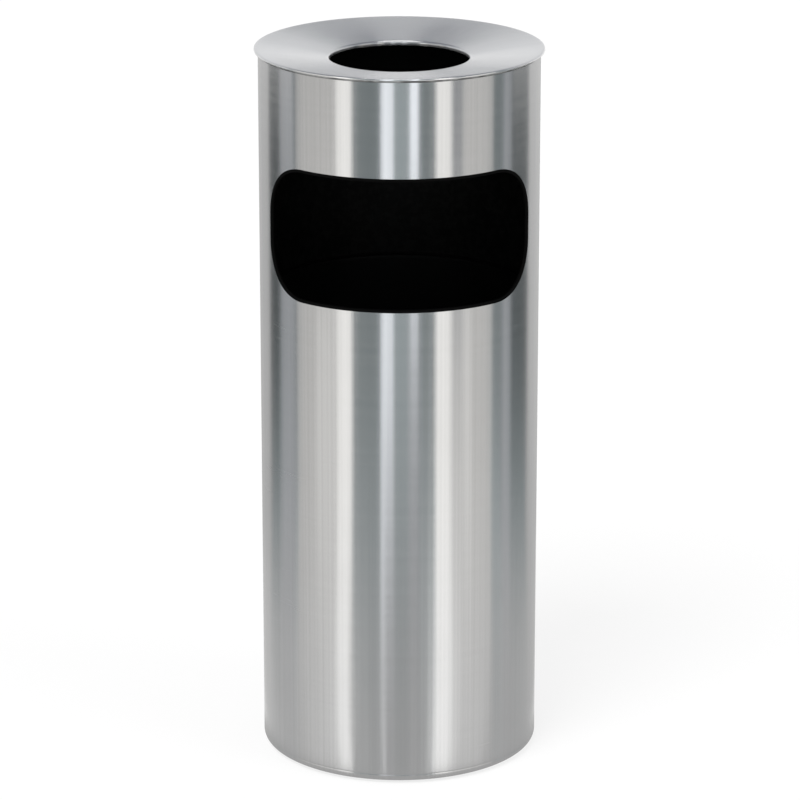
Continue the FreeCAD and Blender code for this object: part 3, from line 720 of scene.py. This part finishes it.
def makeBail():
    # Half of the wire is drawn as a line of edges, mirrored, and given its thickness as a curve.
    r, hook, bend = bail["radius"], bail["hook"], bail["bend"]
    hookX = math.sqrt((r - hook) ** 2 - hook ** 2)
    hookEnd = math.degrees(math.atan2(hook, hookX))
    reach = math.sqrt(r ** 2 - bail["gripHalf"] ** 2)
    bendX = math.sqrt((r - bend) ** 2 - (reach - bend) ** 2)
    bendStart = math.degrees(math.atan2(reach - bend, bendX))
    run = [(bail["tip"], 0.0)]
    run += arcPoints((hookX, hook), hook, -90, hookEnd, 10)
    run += arcPoints((0, 0), r, hookEnd, bendStart, 40)[1:]
    run += arcPoints((bendX, reach - bend), bend, bendStart, 90, 8)[1:]
    run += [(0.0, reach)]
    bpy.ops.mesh.primitive_plane_add(size=0.01, location=(run[0][0], 0, 0))
    piece = named("bailWire")
    place(piece)
    editAll(piece)
    bpy.ops.mesh.merge(type="CENTER")
    for before, after in zip(run, run[1:]):
        step = (after[0] - before[0], before[1] - after[1], 0)
        bpy.ops.mesh.extrude_vertices_move(TRANSFORM_OT_translate={"value": step})
    bpy.ops.object.mode_set(mode="OBJECT")
    applyModifier(piece, "MIRROR", merge_threshold=0.00005)
    pick(piece)
    bpy.ops.object.convert(target="CURVE")
    piece.data.bevel_depth = bail["wire"]
    piece.data.bevel_resolution = 6
    piece.data.use_fill_caps = True
    bpy.ops.object.convert(target="MESH")
    heads = []
    for side in (1, -1):
        middle = side * (bail["tip"] - bail["tipSheet"] / 2)
        bpy.ops.mesh.primitive_cylinder_add(vertices=32, radius=bail["tipHead"], depth=bail["tipSheet"],
                                            location=(middle, 0, 0), rotation=(0, math.pi / 2, 0))
        head = named("bailTip")
        place(head)
        applyModifier(head, "BEVEL", width=bail["tipRound"], segments=2, limit_method="ANGLE")
        heads.append(head)
    pick(*heads, piece)
    bpy.ops.object.join()
    tiltToRest(piece)
    return piece


def makeGrip():
    # Moulded tube with ring grooves, turned upright and then laid along the wire.
    r, half = grip["radius"], grip["length"] / 2
    reach = math.sqrt(bail["radius"] ** 2 - bail["gripHalf"] ** 2)
    edge = r / 4
    section = [(bail["wire"], -half)]
    section += arcPoints((r - edge, -half + edge), edge, -90, 0, 4)
    pitch = grip["length"] / (grip["rings"] + 1)
    for i in range(grip["rings"]):
        middle = -half + pitch * (i + 1)
        for offset, depth in ringShape:
            section.append((r - grip["ringDepth"] * depth, middle + offset * grip["ringDepth"]))
    section += arcPoints((r - edge, half - edge), edge, 0, 90, 4)
    section += [(bail["wire"], half)]
    piece = turnSection("bailGrip", section, grip["steps"])
    piece.rotation_euler = (0, math.pi / 2, 0)
    piece.location = (0, -reach, 0)
    place(piece)
    tiltToRest(piece)
    return piece


finishPiece(makeBail(), "bail", "bail_paint", "bail_wire", angle=50)
finishPiece(makeGrip(), "bail", "grip_plastic", "bail_grip", angle=60)
print("stage: bail")


# Base pan and rubber feet

base = {
    "radius": 0.124, "sheet": 0.0012, "low": 0.008, "flange": 0.020, "bend": 0.002,
    "rib": 0.1052, "ribRise": 0.0038, "ribTop": 0.0021, "ribFoot": 0.0037, "steps": 256,
}
foot = {
    "circle": 0.085, "top": 0.016, "bottom": 0.014, "height": 0.008, "recess": 0.0065,
    "recessHigh": 0.0045, "hole": 0.00275, "edge": 0.0008, "count": 4, "firstTurn": 45, "steps": 64,
}


def makeBase():
    r, t, bend = base["radius"], base["sheet"], base["bend"]
    low, high = base["low"], base["low"] + base["sheet"]
    corner = (r - bend, low + bend)
    rise, rib, half = base["ribRise"], base["rib"], t / 2
    under = [(rib - base["ribFoot"] + half, low), (rib - base["ribTop"] + half, low + rise),
             (rib + base["ribTop"] - half, low + rise), (rib + base["ribFoot"] - half, low)]
    over = [(rib - base["ribFoot"], high), (rib - base["ribTop"], high + rise),
            (rib + base["ribTop"], high + rise), (rib + base["ribFoot"], high)]
    section = [(poleRadius, low), (discRing, low)] + under
    section += arcPoints(corner, bend, 270, 360, 6)
    edge = low + base["flange"]
    section += [(r, edge - wornEdge), (r, edge), (r - t, edge), (r - t, edge - wornEdge)]
    section += arcPoints(corner, bend - t, 360, 270, 5)
    section += over[::-1] + [(discRing, high), (poleRadius, high)]
    return turnSection("basePan", section, base["steps"], closed=False)


def makeFeet():
    edge = foot["edge"]
    section = [(foot["hole"], foot["recessHigh"]), (foot["recess"], foot["recessHigh"])]
    section += arcPoints((foot["recess"] + edge, edge), edge, 180, 270, 4)
    section += arcPoints((foot["bottom"] - edge, edge), edge, 270, 355, 4)
    section += arcPoints((foot["top"] - edge, foot["height"] - edge), edge, 0, 90, 4)
    section += [(foot["hole"], foot["height"])]
    first = turnSection("rubberFeet", section, foot["steps"])
    feet = []
    for i in range(foot["count"]):
        turn = math.radians(foot["firstTurn"] + 360 / foot["count"] * i)
        copy = first.copy()
        copy.data = first.data.copy()
        bpy.context.collection.objects.link(copy)
        copy.location = (foot["circle"] * math.cos(turn), foot["circle"] * math.sin(turn), 0)
        feet.append(copy)
    removeObject(first)
    place(*feet[::-1])
    bpy.ops.object.join()
    return named("rubberFeet")


finishPiece(makeBase(), "housing", "base_paint", "base_pan")
finishPiece(makeFeet(), "housing", "foot_rubber", "rubber_feet", angle=50)
print("stage: base and feet")


# Pieces that keep their CAD shape

carriedOver = {
    "seam_strip": "strip_steel", "foot_screws": "screw_zinc", "foot_washers": "washer_zinc",
    "foot_nuts": "nut_zinc", "bin_rim_wire": "rim_wire_steel", "bin_ear_right": "ear_paint",
    "bin_ear_left": "ear_paint", "ear_rivets": "rivet_steel",
}
for node, slot in carriedOver.items():
    for socket in nodes[node].material_slots:
        socket.material = finishes[slot]
print("stage: carried over pieces", len(carriedOver))


# Camera

view = {"distance": 3.6, "height": 1.446, "pitch": 17.32, "side": 0.0006, "lens": 187.4, "sensor": 36}


def makeCamera():
    bpy.ops.object.camera_add(location=(view["side"], -view["distance"], view["height"]))
    camera = bpy.context.object
    camera.name = "viewCamera"
    camera.rotation_euler = (math.radians(90 - view["pitch"]), 0, 0)
    camera.data.lens = view["lens"]
    camera.data.sensor_width = view["sensor"]
    bpy.context.scene.camera = camera


# Floor, surroundings and light

studio = {
    "floorSize": 60.0, "floorTone": (0.95, 0.95, 0.95), "floorGlow": 0.78, "worldLight": 0.55,
    "horizon": (1.08, 1.08, 1.08), "haze": (0.65, 0.66, 0.68), "overhead": (0.20, 0.215, 0.245),
    "hazeRise": (0.03, 0.25), "overheadRise": (0.42, 0.70),
    "cardRadius": 0.6, "cardHeight": 0.9, "sideHeight": 0.58, "sideTurn": 50, "nearer": 0.99,
    "fadeLow": 0.03, "fadeHigh": 0.25, "stripLift": 0.001, "stripStart": 0.022,
    "edgeLift": 0.0008, "edgeGlow": 0.56, "ceilingHeight": 2.2, "ceilingRadius": 0.5, "ceilingGlow": 1.9,
}
lamps = {                                            # strength, tilt and turn in degrees
    "keyLight": (1.9, 35, -30), "fillLight": (0.55, 50, 60),
}
lampSize = 28.0                                      # how wide a lamp is in the sky, in degrees
plain, teal, cool, warm = (1.0, 1.0, 1.0), (0.88, 1.0, 1.03), (0.96, 1.0, 1.05), (1.01, 1.0, 0.98)
# Upright cards in front of the object and strips on the floor before them, seen only in its metal.
# Each row starts with two degrees round the tube, between which the card shows from the front; then
# come its brightness at the foot and at the head, and its tint.
frontCards = [
    (-85, -66.5, 0.60, 0.60, plain), (-66.5, -57.5, 0.45, 0.09, teal), (-57.5, -48, 0.52, 0.48, cool),
    (-48, -46.3, 0.58, 0.25, teal), (-46.3, -33, 0.78, 0.72, warm), (-33, -26.4, 0.95, 0.70, warm),
    (-26.4, -19.5, 1.36, 1.38, warm), (-19.5, -7.6, 0.50, 0.28, teal), (-7.6, -6.2, 1.15, 1.42, cool),
    (-6.2, -2.4, 0.36, 1.45, cool), (-2.4, 4, 0.37, 0.52, teal), (4, 8, 0.42, 0.40, cool),
    (8, 14.9, 0.55, 0.28, teal), (14.9, 21.6, 1.44, 1.32, warm), (21.6, 26.5, 1.10, 0.38, cool),
    (26.5, 41, 0.90, 0.76, warm), (41, 47, 0.66, 0.27, teal), (47, 52, 0.53, 0.52, cool),
    (52, 65.5, 0.47, 0.12, teal), (65.5, 85, 0.60, 0.66, plain),
]
# Small cards that stand before the others, with the heights of their lower and upper edges last.
nearCards = [
    (-38, -27, 0.86, 1.02, warm, 0, 0.34), (4.2, 7.8, 1.70, 1.70, cool, 0.33, 0.9),
    (21.6, 27, 0.98, 0.90, warm, 0, 0.34), (27, 37, 0.94, 1.12, warm, 0, 0.34),
]
floorStrips = [
    (-85, -67, 0.72), (-67, -50, 0.66), (-50, -44, 0.72), (-44, -33, 0.80), (-33, -28, 0.90),
    (-28, -22, 1.35), (-22, -13, 0.62), (-13, -7.6, 0.56), (-7.6, -6.2, 0.85), (-6.2, 5, 0.52),
    (5, 12, 0.58), (12, 15, 0.80), (15, 23, 1.40), (23, 27, 1.05), (27, 42, 0.82),
    (42, 65.5, 0.62), (65.5, 85, 0.62),
]
# Cards behind the object, low enough for its top to look over: degrees from the front.
rearCards = [
    (158, 168, 0.24, teal), (168, 176, 0.60, cool), (176, 183, 1.35, cool), (183, 194, 0.30, teal),
    (194, 202, 0.70, warm),
]


def lightPathAny(tree, x, y, *kinds):
    rays = addNode(tree, "ShaderNodeLightPath", x, y)
    total = rays.outputs[kinds[0]]
    for i, kind in enumerate(kinds[1:]):
        total = maths(tree, x + 200 + 150 * i, y, "MAXIMUM", total, rays.outputs[kind])
    return total


def makeFloor():
    bpy.ops.mesh.primitive_plane_add(size=studio["floorSize"], location=(0, 0, 0))
    floor = named("studioFloor")
    material = bpy.data.materials.new("floorWhite")
    material.use_nodes = True
    tree = material.node_tree
    shader = tree.nodes["Principled BSDF"]
    shader.inputs["Roughness"].default_value = 0.9
    shader.inputs["Specular IOR Level"].default_value = 0.0
    shader.inputs["Base Color"].default_value = studio["floorTone"] + (1.0,)
    glow = addNode(tree, "ShaderNodeEmission", -200, -400)
    seen = lightPathAny(tree, -900, 200, "Is Camera Ray", "Is Glossy Ray", "Is Transmission Ray")
    share = maths(tree, -300, 200, "MULTIPLY", seen, studio["floorGlow"])
    mix = addNode(tree, "ShaderNodeMixShader", 300, 0)
    tree.links.new(share, mix.inputs[0])
    tree.links.new(shader.outputs[0], mix.inputs[1])
    tree.links.new(glow.outputs[0], mix.inputs[2])
    tree.links.new(mix.outputs[0], tree.nodes["Material Output"].inputs["Surface"])
    floor.data.materials.append(material)


def glowMaterial(name, foot, head, tint):
    material = bpy.data.materials.new(name)
    material.use_nodes = True
    tree = material.node_tree
    tree.nodes.remove(tree.nodes["Principled BSDF"])
    light = addNode(tree, "ShaderNodeEmission", 0, 0)
    light.inputs["Color"].default_value = tint + (1.0,)
    parts = addNode(tree, "ShaderNodeSeparateXYZ", -400, 0)
    tree.links.new(addNode(tree, "ShaderNodeTexCoord", -600, 0).outputs["Object"], parts.inputs[0])
    strength = spread(tree, -200, 0, parts.outputs["Z"], studio["fadeLow"], studio["fadeHigh"], foot, head)
    tree.links.new(strength, light.inputs["Strength"])
    tree.links.new(light.outputs[0], tree.nodes["Material Output"].inputs["Surface"])
    return material


def onlyInReflections(card):
    for ray in ("camera", "diffuse", "transmission", "volume_scatter", "shadow"):
        setattr(card, "visible_" + ray, False)


def cardPoint(turn):
    # Where the line that shows at this turn of the tube, from the front, meets the circle of cards.
    start = Vector((math.sin(turn), -math.cos(turn), 0)) * tube["radius"]
    along = Vector((math.sin(2 * turn), -math.cos(2 * turn), 0))
    half = start.dot(along)
    reach = math.sqrt(half ** 2 + studio["cardRadius"] ** 2 - tube["radius"] ** 2) - half
    return start, start + along * reach


def addCard(name, corners, foot, head, tint):
    bpy.ops.mesh.primitive_plane_add(size=1)
    card = named(name)
    for vertex, corner in zip(card.data.vertices, corners):
        vertex.co = corner
    card.data.materials.append(glowMaterial(name, foot, head, tint))
    onlyInReflections(card)


def addDisc(name, radius, height, glow):
    bpy.ops.mesh.primitive_circle_add(vertices=96, radius=radius, fill_type="NGON", location=(0, 0, height))
    disc = named(name)
    place(disc)
    disc.data.materials.append(glowMaterial(name, glow, glow, plain))
    onlyInReflections(disc)


def makeCards():
    lift = Vector((0, 0, studio["stripLift"]))
    for i, (start, end, foot, head, tint) in enumerate(frontCards):
        left, right = (cardPoint(math.radians(turn))[1] for turn in (start, end))
        sideways = abs(start + end) / 2 > studio["sideTurn"]
        up = Vector((0, 0, studio["sideHeight"] if sideways else studio["cardHeight"]))
        addCard("frontCard%02d" % i, (left, right, left + up, right + up), foot, head, tint)
    for i, (start, end, foot, head, tint, low, high) in enumerate(nearCards):
        left, right = (cardPoint(math.radians(turn))[1] * studio["nearer"] for turn in (start, end))
        down, up = Vector((0, 0, low)), Vector((0, 0, high))
        addCard("nearCard%02d" % i, (left + down, right + down, left + up, right + up), foot, head, tint)
    clear = (tube["radius"] + studio["stripStart"]) / tube["radius"]
    for i, (start, end, glow) in enumerate(floorStrips):
        (nearLeft, left), (nearRight, right) = cardPoint(math.radians(start)), cardPoint(math.radians(end))
        corners = (nearLeft * clear + lift, nearRight * clear + lift, left + lift, right + lift)
        addCard("floorStrip%02d" % i, corners, glow, glow, plain)
    up = Vector((0, 0, studio["sideHeight"]))
    for i, (start, end, glow, tint) in enumerate(rearCards):
        left, right = (Vector((math.sin(t), -math.cos(t), 0)) * studio["cardRadius"]
                       for t in (math.radians(start), math.radians(end)))
        addCard("rearCard%02d" % i, (left, right, left + up, right + up), glow, glow, tint)
    addDisc("edgeRing", tube["radius"] + studio["stripStart"], studio["edgeLift"], studio["edgeGlow"])
    addDisc("ceilingCard", studio["ceilingRadius"], studio["ceilingHeight"], studio["ceilingGlow"])


def makeWorld():
    world = bpy.data.worlds.new("studioWorld")
    bpy.context.scene.world = world
    world.use_nodes = True
    tree = world.node_tree
    background = tree.nodes["Background"]
    direction = addNode(tree, "ShaderNodeTexCoord", -1200, -200)
    parts = addNode(tree, "ShaderNodeSeparateXYZ", -1000, -200)
    tree.links.new(direction.outputs["Generated"], parts.inputs[0])
    rise = spread(tree, -800, -200, parts.outputs["Z"], *studio["hazeRise"])
    haze = mixColors(tree, -600, -200, rise, studio["horizon"] + (1.0,), studio["haze"] + (1.0,))
    steep = spread(tree, -800, -500, parts.outputs["Z"], *studio["overheadRise"])
    ceiling = mixColors(tree, -500, -400, steep, haze, studio["overhead"] + (1.0,))
    clear = lightPathAny(tree, -1200, 300, "Is Camera Ray", "Is Transmission Ray")
    level, mirrored = studio["worldLight"], lightPathAny(tree, -800, 0, "Is Glossy Ray")
    lit = mixColors(tree, -300, 0, mirrored, (level, level, level, 1.0), ceiling)
    white = mixColors(tree, -100, 0, clear, lit, (1.0, 1.0, 1.0, 1.0))
    tree.links.new(white, background.inputs["Color"])


def makeSun(name, strength, tilt, turn):
    bpy.ops.object.light_add(type="SUN", location=(0, 0, 3))
    lamp = bpy.context.object
    lamp.name = name
    lamp.data.energy = strength
    lamp.data.angle = math.radians(lampSize)
    lamp.rotation_euler = (math.radians(tilt), 0, math.radians(turn))
    lamp.visible_glossy = False


makeCamera()
makeFloor()
makeCards()
makeWorld()
for name, settings in lamps.items():
    makeSun(name, *settings)
bpy.context.scene.view_settings.view_transform = "Standard"
print("stage: camera, floor and light")
